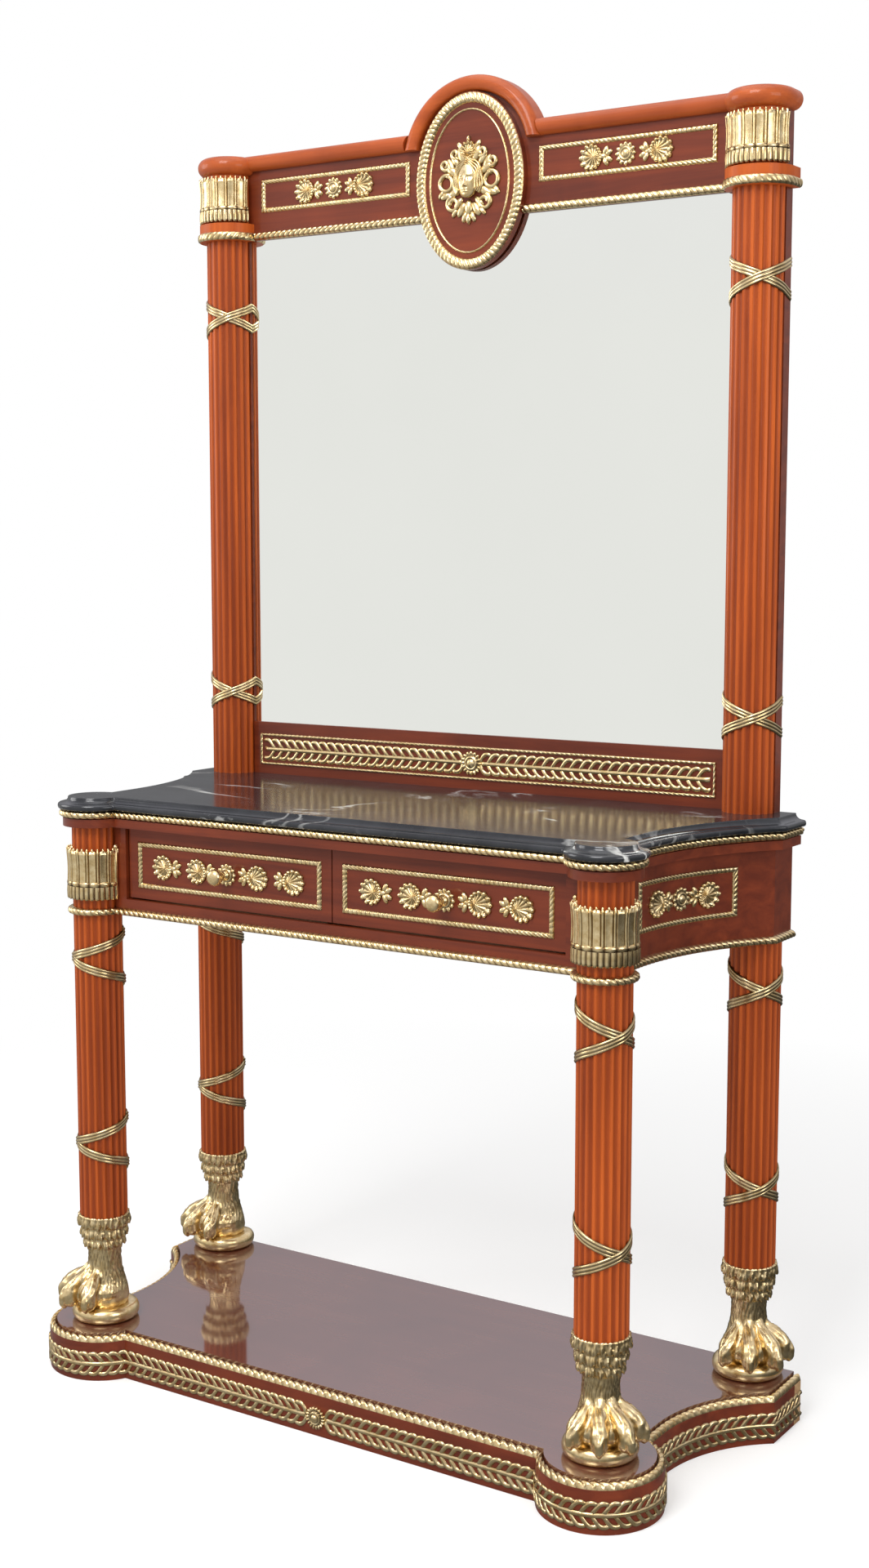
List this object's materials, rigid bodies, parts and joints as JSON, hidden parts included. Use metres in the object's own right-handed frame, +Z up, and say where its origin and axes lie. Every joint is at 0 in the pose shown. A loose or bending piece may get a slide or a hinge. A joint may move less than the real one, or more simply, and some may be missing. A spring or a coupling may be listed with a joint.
{
  "type": "pier table",
  "caption": "Tall Empire-style pier table in mahogany with gilt mounts: shaped plinth, fluted legs on lion paws, drawers in the apron, black marble top and a standing mirror.",
  "frame": {"origin": "on the floor, under the middle of the table's box", "axes": "+Z up; the front with its drawers faces -Y; +X is to the right seen from the front"},
  "size_m": [1.224, 0.5295, 2.136],
  "materials": {
    "mahogany": "french polished",
    "dark_mahogany": "french polished",
    "lining": "plain planed",
    "gilt": "aged gilding",
    "marble": "polished, white veins",
    "mirror": "silvered",
    "steel": "plain"
  },
  "bodies": {
    "table": {"apron_back_rail": "lining", "apron_band": "mahogany", "apron_bottom_rail": "dark_mahogany", "apron_bottom_rope": "gilt", "apron_front_stiles": "dark_mahogany", "apron_side_gilt": "gilt", "apron_side_left": "dark_mahogany", "apron_side_right": "dark_mahogany", "apron_top_rail": "dark_mahogany", "apron_top_rope": "gilt", "corner_capitals": "gilt", "cornice": "mahogany", "drawer_partition": "lining", "drawer_runners": "lining", "foot_discs": "gilt", "frieze_board": "dark_mahogany", "frieze_gilt": "gilt", "frieze_rope": "gilt", "leg_front_left": "mahogany", "leg_front_right": "mahogany", "leg_rear_left": "mahogany", "leg_rear_right": "mahogany", "leg_ribbons": "gilt", "marble_top": "marble", "mask_mount": "gilt", "mirror_back_board": "lining", "mirror_glass": "mirror", "mirror_lower_panel": "dark_mahogany", "mirror_stiles": "dark_mahogany", "mirror_straps": "steel", "oval_gilt": "gilt", "oval_plaque": "dark_mahogany", "panel_gilt": "gilt", "paw_feet": "gilt", "pilaster_capitals": "gilt", "pilaster_left": "mahogany", "pilaster_ribbons": "gilt", "pilaster_right": "mahogany", "plinth_back_rail": "lining", "plinth_front_rail": "dark_mahogany", "plinth_gadroon": "gilt", "plinth_laurel": "gilt", "plinth_side_left": "dark_mahogany", "plinth_side_right": "dark_mahogany", "plinth_top_board": "dark_mahogany", "rear_corner_blocks": "lining"},
    "drawer_left": {"drawer_left_boards": "lining", "drawer_left_bottom": "lining", "drawer_left_front": "dark_mahogany", "drawer_left_gilt": "gilt", "drawer_left_knob": "gilt"},
    "drawer_right": {"drawer_right_boards": "lining", "drawer_right_bottom": "lining", "drawer_right_front": "dark_mahogany", "drawer_right_gilt": "gilt", "drawer_right_knob": "gilt"}
  },
  "joints": [
    {"name": "drawer_left_slide", "type": "slide", "parent": "table", "child": "drawer_left", "axis": [0, -1, 0], "range_m": [0, 0.28]},
    {"name": "drawer_right_slide", "type": "slide", "parent": "table", "child": "drawer_right", "axis": [0, -1, 0], "range_m": [0, 0.28]}
  ]
}
